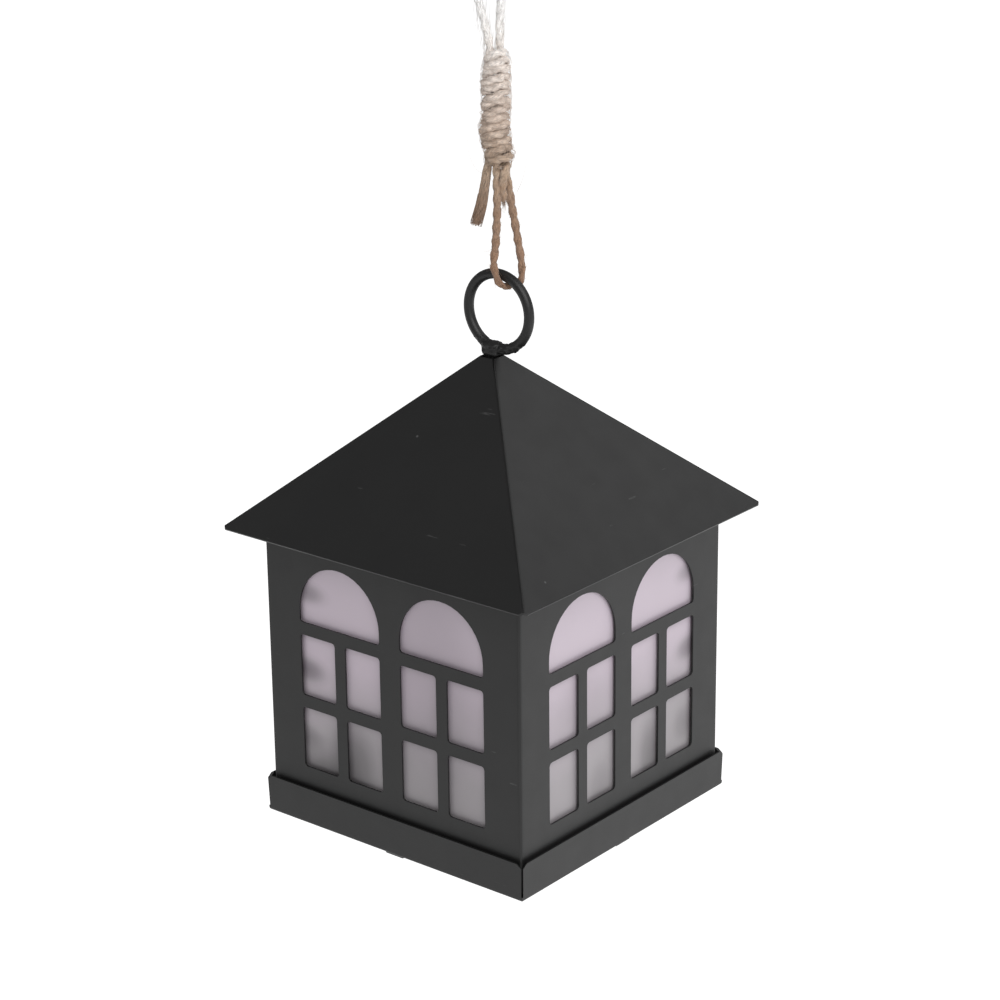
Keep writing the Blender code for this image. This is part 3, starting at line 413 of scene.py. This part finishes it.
def jute():
    """Jute fibre: brown near the ring, with a painted highlight that turns it near white at the top of the
    hanger.
    """
    look = Look("jute_fibre", (0.42, 0.29, 0.19), 0.85)
    z = look.xyz()[2]
    height = look.node("MapRange")
    height.inputs["From Min"].default_value = 0.170
    height.inputs["From Max"].default_value = 0.258
    look.link(z, height.inputs["Value"])
    # Painted highlight: the brown runs up to near white towards the top of the hanger.
    brown_to_painted_highlight = look.ramp(height.outputs["Result"], [
        (0.0, (0.29, 0.165, 0.105)), (0.30, (0.32, 0.21, 0.145)), (0.42, (0.47, 0.35, 0.255)),
        (0.6, (0.68, 0.56, 0.475)), (0.78, (0.85, 0.77, 0.71)),
        (0.88, (0.93, 0.90, 0.87)), (1.0, (0.96, 0.95, 0.94))])
    along = look.place("UV", scale=(75, 22, 1))
    streak = look.noise(1.0, 5, at=along, rough=0.7)
    blotch = look.noise(420, 4)
    # Fibre streaks: the fibres' own varying tone, with painted shadow in the dark streaks and painted
    # highlight in the pale ones.
    shade = look.ramp(streak, [(0.3, 0.35), (0.48, 0.92), (0.66, 1.5)])
    tone = look.mix(1.0, brown_to_painted_highlight, shade, "MULTIPLY")
    warm = look.mix(look.ramp(blotch, [(0.4, 0.0), (0.75, 0.35)]), tone, (0.36, 0.20, 0.10))
    # Painted highlight: towards the top the warm blotches give way to the plain near-white colour.
    pale = look.ramp(height.outputs["Result"], [(0.5, 0.0), (0.95, 1.0)])
    look.link(look.mix(pale, warm, tone), look.shader.inputs["Base Color"])
    look.set("Sheen Weight", 0.25)
    look.set("Sheen Roughness", 0.5)
    look.bump(streak, 0.00012, 0.8)
    look.bump(look.noise(3500, 3), 0.00002, 0.5)
    return look


LOOKS = {
    "black_steel": powder_coat(),
    "frosted_plastic": frosted_film(),
    "black_plastic": moulded_plastic("moulded_black", (0.022, 0.022, 0.024)),
    "rubber": soft_rubber(),
    "solar_cell": solar_cells(),
    "circuit_board": printed_board(),
    "battery_sleeve": shrink_sleeve(),
    "bright_metal": plated_steel(),
    "led_epoxy": lamp_epoxy(),
    "red_lead": moulded_plastic("lead_red", (0.42, 0.02, 0.02), 0.38),
    "black_lead": moulded_plastic("lead_black", (0.02, 0.02, 0.02), 0.38),
    "jute": jute(),
}


# ---------------------------------------------------------------- making pieces
SAME_POINT = 0.000002   # metres
FLAT_DEGREES = 0.6      # faces this close to one plane become one face
EDGE_DEGREES = 28       # a sharper edge than this is rounded
EDGE_SEGMENTS = 2
RING_VOXEL = 0.32       # mm
WELD_HEIGHT = 152.6     # mm, where the ring meets the roof's top
WELD_REACH = 3.2        # mm above and below it


def link_piece(name, mesh, slot, body=ROOT):
    obj = bpy.data.objects.new(name, mesh)
    bpy.context.scene.collection.objects.link(obj)
    mesh.materials.clear()
    mesh.materials.append(LOOKS[slot].mat)
    mesh.shade_smooth()
    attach(obj, body)
    return obj


def mesh_of(name, bm):
    mesh = bpy.data.meshes.new(name)
    bm.to_mesh(mesh)
    bm.free()
    return mesh


def refined(node, name, slot, width, body=ROOT):
    """A cleaned copy of a CAD node with its sharp edges softened, which stands for the node."""
    bm = bmesh.new()
    bm.from_mesh(frame["nodes"][node].data)
    bmesh.ops.remove_doubles(bm, verts=bm.verts, dist=SAME_POINT)
    bmesh.ops.dissolve_limit(bm, angle_limit=math.radians(FLAT_DEGREES), verts=bm.verts, edges=bm.edges)
    piece = link_piece(name, mesh_of(name, bm), slot, body)
    bevel = piece.modifiers.new("soft_edges", "BEVEL")
    bevel.width = width * MM
    bevel.segments = EDGE_SEGMENTS
    bevel.limit_method = "ANGLE"
    bevel.angle_limit = math.radians(EDGE_DEGREES)
    flatten = piece.modifiers.new("flat_faces", "WEIGHTED_NORMAL")
    flatten.weight = 100
    flatten.keep_sharp = False
    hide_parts(node)
    return piece


def welded_ring():
    """The ring run into its weld: one remeshed skin, lumpy only where the weld bead is."""
    bm = bmesh.new()
    bm.from_mesh(frame["nodes"]["hanging_ring"].data)
    piece = link_piece("ring_coated", mesh_of("ring_coated", bm), "black_steel")
    voxel = piece.modifiers.new("one_skin", "REMESH")
    voxel.mode = "VOXEL"
    voxel.voxel_size = RING_VOXEL * MM
    voxel.use_smooth_shade = True
    relax = piece.modifiers.new("relax", "SMOOTH")
    relax.factor = 0.5
    relax.iterations = 3
    bpy.context.view_layer.update()
    made = bpy.data.meshes.new_from_object(piece.evaluated_get(bpy.context.evaluated_depsgraph_get()))
    piece.modifiers.clear()
    for vertex in made.vertices:
        near = max(0.0, 1 - abs(vertex.co.z / MM - WELD_HEIGHT) / WELD_REACH)
        lump = noise.noise(vertex.co * 620) + 0.5 * noise.noise(vertex.co * 1500)
        vertex.co += Vector(vertex.normal) * lump * near * 0.6 * MM
    made.shade_smooth()
    piece.data = made
    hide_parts("hanging_ring")


def dress(node, slot):
    """Gives a carried-over CAD node its material."""
    obj = frame["nodes"][node]
    obj.data.materials.clear()
    obj.data.materials.append(LOOKS[slot].mat)


# ---------------------------------------------------------------- twine
def hanger_point(side, height, front=0.0):
    across = Vector((math.cos(HANG_TURN), math.sin(HANG_TURN), 0))
    toward = Vector((math.sin(HANG_TURN), -math.cos(HANG_TURN), 0))
    return (across * side + toward * front + Vector((0, 0, TRAY_Z + height))) * MM


def wrap_points():
    """The twine's middle where it passes under the ring's top."""
    clear = WIRE_R + TWINE_R - 0.05
    points = []
    for i in range(5):
        around, along = math.radians(-90 + 45 * i), math.radians(8 + 6 * i)
        radius = RING_MAJOR_R - clear * math.cos(around)
        points.append(Vector((RING_X + radius * math.sin(along), clear * math.sin(around),
                              RING_Z + radius * math.cos(along))) * MM)
    return points


def curve_through(knots, spacing):
    """Points about spacing metres apart along a Catmull-Rom curve."""
    ends = [2 * knots[0] - knots[1], *knots, 2 * knots[-1] - knots[-2]]
    fine = []
    for a, b, c, d in zip(ends, ends[1:], ends[2:], ends[3:]):
        for i in range(24):
            t = i / 24
            fine.append(0.5 * (2 * b + (c - a) * t + (2 * a - 5 * b + 4 * c - d) * t ** 2
                               + (3 * b - a - 3 * c + d) * t ** 3))
    fine.append(knots[-1])
    return even(fine, spacing)


def even(points, spacing):
    lengths = [0.0]
    for a, b in zip(points, points[1:]):
        lengths.append(lengths[-1] + (b - a).length)
    count = max(2, round(lengths[-1] / spacing))
    made, k = [], 0
    for i in range(count + 1):
        target = lengths[-1] * i / count
        while k < len(points) - 2 and lengths[k + 1] < target:
            k += 1
        share = (target - lengths[k]) / max(lengths[k + 1] - lengths[k], 1e-12)
        made.append(points[k].lerp(points[k + 1], min(1.0, max(0.0, share))))
    return made


def length_of(points):
    return sum((b - a).length for a, b in zip(points, points[1:]))


def frames_along(points):
    """A tangent and a steady side vector at each point."""
    side, made = None, []
    for i, p in enumerate(points):
        tangent = (points[min(i + 1, len(points) - 1)] - points[max(i - 1, 0)]).normalized()
        if side is None:
            side = tangent.orthogonal().normalized()
        side = (side - tangent * side.dot(tangent)).normalized()
        made.append((p, tangent, side, tangent.cross(side)))
    return made


def add_tube(bm, uv, rings, v0=0.0):
    """rings: lists of points, each one cross-section; the ends are closed."""
    made = [[bm.verts.new(p) for p in ring] for ring in rings]
    count = len(made[0])
    along = 0.0
    for i, (first, second) in enumerate(zip(made, made[1:])):
        step = (rings[i + 1][0] - rings[i][0]).length * 1000
        for k in range(count):
            n = (k + 1) % count
            face = bm.faces.new((first[k], first[n], second[n], second[k]))
            for loop, (u, v) in zip(face.loops, ((along, k), (along, k + 1), (along + step, k + 1),
                                                 (along + step, k))):
                loop[uv].uv = (u / 100, v0 + v / count)
        along += step
    bm.faces.new(list(reversed(made[0])))
    bm.faces.new(made[-1])


def squeeze(p):
    """How far the twine is pressed thin at a point: its load flattens it round the ring's wire."""
    near = max(0.0, min(1.0, (p.z / MM - 171.0) / 12.0))
    return 0.80 + 0.20 * near


def rope_mesh(name, line, rope_r, lay=9.0, plies=2, sides=10, seed=1):
    """Twisted plies round a line. Each ply wavers a little, as hand-made jute does."""
    rng = random.Random(seed)
    bm = bmesh.new()
    uv = bm.loops.layers.uv.new("fibre")
    stations = frames_along(line)
    step = length_of(line) / (len(line) - 1) / MM
    ply_r = rope_r * 0.74
    away = rope_r * 0.27
    for ply in range(plies):
        start = 2 * math.pi * ply / plies
        offset = rng.uniform(0, 50)
        rings = []
        for i, (p, tangent, side, other) in enumerate(stations):
            travel = i * step
            waver = noise.noise(Vector((travel * 0.16, offset, 0)))
            turn = start + 2 * math.pi * travel / lay + 0.5 * waver
            out = side * math.cos(turn) + other * math.sin(turn)
            swell = 1 + 0.10 * noise.noise(Vector((travel * 0.33, offset + 9, 3)))
            end = min(1.0, 0.55 + 0.45 * min(i, len(stations) - 1 - i) / 5)
            end *= squeeze(p)
            centre = p + out * away * MM * (1 + 0.1 * waver) * squeeze(p)
            across = tangent.cross(out)
            ring = []
            for k in range(sides):
                angle = 2 * math.pi * k / sides + turn * -1.4
                at = Vector((travel * 1.6, math.cos(angle) * 2 + offset, math.sin(angle) * 2))
                ridge = 1 + 0.05 * math.cos(3 * (angle + turn * 2.4)) + 0.09 * noise.noise(at)
                radius = ply_r * swell * ridge * end * MM
                ring.append(centre + (out * math.cos(angle) + across * math.sin(angle)) * radius)
            rings.append(ring)
        add_tube(bm, uv, rings, ply * 1.7)
    bmesh.ops.recalc_face_normals(bm, faces=bm.faces)
    return mesh_of(name, bm)


def hair_mesh(name, hairs, sides=3):
    """hairs: (points, root radius in mm), each a fine tapering fibre."""
    bm = bmesh.new()
    uv = bm.loops.layers.uv.new("fibre")
    for points, radius in hairs:
        rings = []
        for i, (p, _, side, other) in enumerate(frames_along(points)):
            r = radius * (1 - 0.75 * i / (len(points) - 1)) * MM
            angles = [2 * math.pi * k / sides for k in range(sides)]
            rings.append([p + (side * math.cos(a) + other * math.sin(a)) * r for a in angles])
        add_tube(bm, uv, rings, points[0].x * 3000)
    bmesh.ops.recalc_face_normals(bm, faces=bm.faces)
    return mesh_of(name, bm)


def stray_hairs(line, count, rope_r, seed, long=(2.0, 6.0), skip=None):
    """Fibres that lift from a rope's surface and bend back along it."""
    rng = random.Random(seed)
    stations = frames_along(line)
    made = []
    for _ in range(count):
        i = rng.randrange(2, len(stations) - 3)
        p, tangent, side, other = stations[i]
        if skip and skip(p):
            continue
        angle = rng.uniform(0, 2 * math.pi)
        out = side * math.cos(angle) + other * math.sin(angle)
        way = tangent * rng.choice((-1, 1))
        size = rng.uniform(*long) * MM
        lift = rng.uniform(0.12, 0.55)
        drift = Vector((rng.uniform(-1, 1), rng.uniform(-1, 1), rng.uniform(-1, 1))) * 0.25
        points = []
        for k in range(5):
            t = k / 4
            bend = way * (1 - lift * t) + out * lift * t + drift * t * t
            points.append(p + out * rope_r * 0.75 * MM + bend * size * t)
        made.append((points, rng.uniform(0.03, 0.065)))
    return made


def whip_shape(height):
    """The whipping's middle and half width at a height, in the plane of the twine's legs."""
    table = ((204.0, 2.5, 2.9), (206.3, 2.7, 3.7), (209.5, 3.0, 4.5), (213.0, 2.1, 4.45), (216.8, 1.55, 4.6),
             (220.5, 1.9, 4.2), (225.0, 2.2, 4.35), (229.0, 2.1, 4.3), (233.0, 2.2, 4.5), (237.0, 2.4, 4.0),
             (240.5, 2.3, 3.6))
    for (z0, c0, h0), (z1, c1, h1) in zip(table, table[1:]):
        if z0 <= height <= z1:
            t = (height - z0) / (z1 - z0)
            t = t * t * (3 - 2 * t)
            return c0 + (c1 - c0) * t, h0 + (h1 - h0) * t
    return table[-1][1:] if height > table[-1][0] else table[0][1:]


def make_twine():
    main = [
        hanger_point(-4.2, 188.6, 3.0), hanger_point(-2.6, 194.0, 2.8), hanger_point(-1.5, 199.5, 2.4),
        hanger_point(-0.7, 204.6, 1.8), hanger_point(0.3, 212.0, 1.4), hanger_point(0.5, 225.0, 1.4),
        hanger_point(0.5, 239.6, 2.1), hanger_point(0.2, 243.0, 2.1), hanger_point(-1.1, 249.0, 2.3),
        hanger_point(-2.7, 255.0, 2.4), hanger_point(-3.7, 261.0, 2.3), hanger_point(-2.9, 266.2, 2.0),
        hanger_point(0.3, 268.6, 1.8), hanger_point(3.5, 266.2, 1.6), hanger_point(4.4, 261.0, 1.5),
        hanger_point(3.9, 255.0, 1.5), hanger_point(3.6, 249.0, 1.5), hanger_point(3.5, 243.0, 1.5),
        hanger_point(3.5, 239.6, 1.5), hanger_point(3.1, 225.0, 3.1), hanger_point(2.4, 212.0, 3.4),
        hanger_point(2.1, 204.6, 3.3), hanger_point(2.15, 198.0, 3.5), hanger_point(2.05, 191.5, 3.8),
        hanger_point(1.6, 183.5, 4.4), hanger_point(0.95, 177.0, 5.2),
        *wrap_points(),
        hanger_point(9.2, 176.3, 2.6), hanger_point(8.0, 184.4, 1.5), hanger_point(6.7, 192.0, 0.7),
        hanger_point(5.8, 198.2, 0.4), hanger_point(4.7, 204.6, 0.4), hanger_point(4.1, 212.0, 0.5),
        hanger_point(3.5, 222.0, 0.3),
    ]
    line = curve_through(main, 0.3 * MM)
    rope = link_piece("twine_hanger", rope_mesh("twine_hanger", line, 1.3, lay=8.5, seed=4), "jute")
    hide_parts("twine_lower_loop", "twine_tail", "twine_upper_loop")

    whip_r = 1.32
    turns, per_turn = 14, 40
    rng = random.Random(11)
    knots = []
    high, low = WHIP_HIGH - 0.6, WHIP_LOW + 1.2
    for i in range(turns * per_turn + 1):
        share = i / (turns * per_turn)
        angle = 2 * math.pi * turns * share
        height = high + (low - high) * share
        height += 1.5 * noise.noise(Vector((angle * 0.31, 3.0, 0))) + 0.9 * math.sin(angle + 0.6)
        middle, half = whip_shape(height)
        radius = half - whip_r + 0.1 + 0.95 * noise.noise(Vector((angle * 0.8, 7.0, 0)))
        side = middle + radius * math.cos(angle)
        front = 1.8 + (radius * 0.92) * math.sin(angle)
        knots.append(hanger_point(side, height, front))
    end = [hanger_point(4.9, 205.2, 3.9), hanger_point(4.3, 203.6, 4.6), hanger_point(3.8, 201.4, 4.0),
           hanger_point(3.8, 198.6, 3.0), hanger_point(4.1, 195.4, 2.4)]
    coil = curve_through(knots[:-4:4] + end, 0.3 * MM)
    whip = link_piece("twine_whipping", rope_mesh("twine_whipping", coil, whip_r, lay=7.0, seed=9), "jute")
    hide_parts("twine_binding")

    def inside(p):
        return TRAY_Z + 206 < p.z / MM < TRAY_Z + 239

    hairs = stray_hairs(line, 900, 1.3, 21, long=(2.0, 5.5), skip=inside)
    for i in range(320):
        k = rng.randrange(len(line))
        while line[k].z / MM < TRAY_Z + 238.5:
            k = rng.randrange(len(line))
        start = line[k] + Vector((rng.uniform(-1, 1), rng.uniform(-1, 1), 0)) * 1.1 * MM
        inward = (hanger_point(0.6, 0, 1.8) - start) * Vector((1, 1, 0))
        size = rng.uniform(5, 11) * MM
        rise = rng.choice((-1, 1)) * Vector((0, 0, 1))
        rise += Vector((rng.uniform(-1, 1), rng.uniform(-1, 1), 0)) * 0.16
        points = [start + inward * rng.uniform(0, 0.12) + rise * size * t for t in (0, 0.25, 0.5, 0.75, 1.0)]
        points = [p for p in points if TRAY_Z + 238 < p.z / MM < TRAY_Z + 270]
        if len(points) > 2:
            hairs.append((points, rng.uniform(0.05, 0.1)))
    fuzz = link_piece("twine_fibres", hair_mesh("twine_fibres", hairs), "jute")
    whip_hairs = stray_hairs(coil, 700, whip_r, 22, long=(2.0, 4.5))
    for i in range(520):
        height, angle = rng.uniform(205.5, 240.0), rng.uniform(0, 2 * math.pi)
        slope, run = rng.gauss(-0.25, 0.55), rng.uniform(2.5, 7.5)
        lift = rng.uniform(0.0, 0.7)
        points = []
        for k in range(7):
            travel = run * k / 6
            at = height + travel * math.sin(slope)
            middle, half = whip_shape(at)
            radius = half - 0.15 + lift * math.sin(math.pi * k / 6) + 0.15 * math.sin(travel * 2 + i)
            turn = angle + travel * math.cos(slope) / half
            front = 1.8 + radius * 0.92 * math.sin(turn)
            points.append(hanger_point(middle + radius * math.cos(turn), at, front))
        whip_hairs.append((points, rng.uniform(0.05, 0.12)))
    whip_fuzz = link_piece("whipping_fibres", hair_mesh("whipping_fibres", whip_hairs), "jute")

    tuft = []
    tail = curve_through([main[3], main[2], main[1], main[0], main[0] + (main[0] - main[1]) * 0.06], 1.2 * MM)
    stations = frames_along(tail)
    for i in range(190):
        turn, share = rng.uniform(0, 2 * math.pi), math.sqrt(rng.uniform(0, 1))
        first = 0 if rng.random() < 0.5 else rng.randrange(0, len(stations) // 2)
        last = len(stations) - rng.choice((0, 0, 1, 1, 2, 3))
        points = []
        for k in range(first, last):
            p, _, side, other = stations[k]
            t = k / (len(stations) - 1)
            radius = (1.25 + 0.65 * t) * share * MM
            swirl = turn + 0.9 * t + 0.12 * math.sin(k + i)
            points.append(p + (side * math.cos(swirl) + other * math.sin(swirl)) * radius)
        tuft.append((points, rng.uniform(0.12, 0.2)))
    tail_tuft = link_piece("twine_tail_tuft", hair_mesh("twine_tail_tuft", tuft, 4), "jute")
    tuft = []
    for i in range(36):
        spread = Vector((rng.uniform(-1, 1), rng.uniform(-1, 1), rng.uniform(-0.3, 0.3)))
        start = end[-1] + Vector((0, 0, rng.uniform(0.5, 3.0))) * MM + spread * 0.6 * MM
        size = rng.uniform(1.8, 4.2) * MM
        down = Vector((0.12, 0.05, -1))
        points = [start + (down + spread * 0.25 * t) * size * t for t in (0, 0.25, 0.5, 0.75, 1.0)]
        tuft.append((points, rng.uniform(0.06, 0.11)))
    whip_tuft = link_piece("whipping_tuft", hair_mesh("whipping_tuft", tuft, 4), "jute")

    long_hair = [
        [hanger_point(8.0, 197.8, 2.0), hanger_point(9.6, 201.5, 2.0), hanger_point(10.6, 205.5, 2.0),
         hanger_point(11.1, 210.5, 2.0), hanger_point(10.6, 214.5, 2.0)],
        [hanger_point(-1.6, 203.0, 2.0), hanger_point(-4.6, 206.0, 2.0), hanger_point(-6.2, 211.0, 2.0),
         hanger_point(-6.0, 217.0, 2.0), hanger_point(-4.0, 221.5, 2.0)],
    ]
    long_lines = [(curve_through(p, 0.5 * MM), 0.05) for p in long_hair]
    loose = link_piece("loose_fibres", hair_mesh("loose_fibres", long_lines), "jute")


# ---------------------------------------------------------------- the rest of the lantern
def make_shell():
    refined("body_shell", "body_shell_coated", "black_steel", 0.14)
    refined("tray", "tray_coated", "black_steel", 0.16)
    refined("roof", "roof_coated", "black_steel", 0.09)
    welded_ring()
    refined("frosted_liner", "liner_film", "frosted_plastic", 0.1)


def make_hip_seam():
    """The fine ridge where the roof's sheet closes along the front hip."""
    corner, apex = Vector((59.4, -59.4, 98.1)), Vector((0, 0, 152.0))
    bm = bmesh.new()
    uv = bm.loops.layers.uv.new("along")
    points = []
    for i in range(121):
        t = 0.012 + (0.945 - 0.012) * i / 120
        waver = Vector((0.10 + 0.08 * noise.noise(Vector((t * 40, 0, 0))), 0, 0.04))
        points.append((corner.lerp(apex, t) + waver) * MM)
    rings = []
    for i, (p, _, side, other) in enumerate(frames_along(points)):
        taper = min(1.0, 0.3 + min(i, 120 - i) / 6)
        radius = (0.20 + 0.07 * noise.noise(Vector((i * 0.5, 4, 0)))) * taper * MM
        angles = [math.pi * k / 4 for k in range(8)]
        rings.append([p + (side * math.cos(a) + other * math.sin(a)) * radius for a in angles])
    add_tube(bm, uv, rings)
    bmesh.ops.recalc_face_normals(bm, faces=bm.faces)
    link_piece("roof_hip_seam", mesh_of("roof_hip_seam", bm), "black_steel")


def make_unit():
    refined("base_plate", "base_plate_moulded", "black_plastic", 0.2)
    refined("unit_housing", "unit_housing_moulded", "black_plastic", 0.3)
    refined("solar_frame", "solar_frame_moulded", "black_plastic", 0.2)
    refined("solar_panel", "solar_panel_cells", "solar_cell", 0.15)
    refined("battery_cover", "battery_cover_moulded", "black_plastic", 0.12, body="battery_cover")
    refined("switch_slider", "switch_knob", "black_plastic", 0.1, body="switch_slider")
    for node, obj in frame["nodes"].items():
        if not obj.hide_render:
            slot = next(s["material_slot"] for s in frame["record"]["subparts"] if s["node"] == node)
            dress(node, slot)


make_camera()
make_studio()
make_twine()
make_shell()
make_hip_seam()
make_unit()

bpy.context.view_layer.update()
